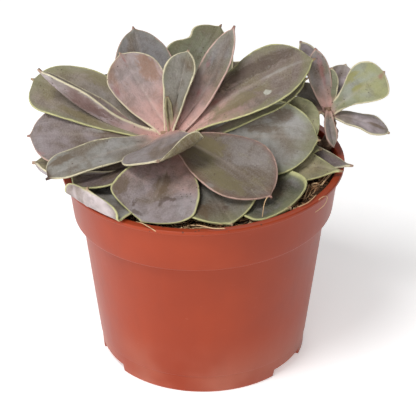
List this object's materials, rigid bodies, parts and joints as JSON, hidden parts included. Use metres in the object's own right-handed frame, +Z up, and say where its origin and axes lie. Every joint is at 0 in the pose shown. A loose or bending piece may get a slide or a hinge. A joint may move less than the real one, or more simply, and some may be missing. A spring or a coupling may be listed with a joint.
{
  "type": "potted echeveria",
  "caption": "Wide weathered echeveria rosette with a smaller rosette behind it, standing in soil in a tapered plastic nursery pot with a tall collar.",
  "frame": {"origin": "bottom centre of the whole plant's box, on the surface the pot stands on; the pot's axis is 3.06 mm to the -X side of it", "axes": "+Z up along the pot's axis, -Y towards the plant's front, +X to the side with the smaller rosette"},
  "size_m": [0.1522, 0.12, 0.1463],
  "materials": {
    "terracotta_plastic": "satin moulded plastic",
    "peat": "crumbly peat with coir fibres",
    "leaf": "waxy matt leaf, grey purple to olive with a pale margin",
    "young_leaf": "waxy matt leaf, pale green to lilac"
  },
  "bodies": {
    "root": {"pot": "terracotta_plastic", "soil": "peat", "main_rosette": "leaf", "offset_rosette": "young_leaf"}
  },
  "joints": []
}
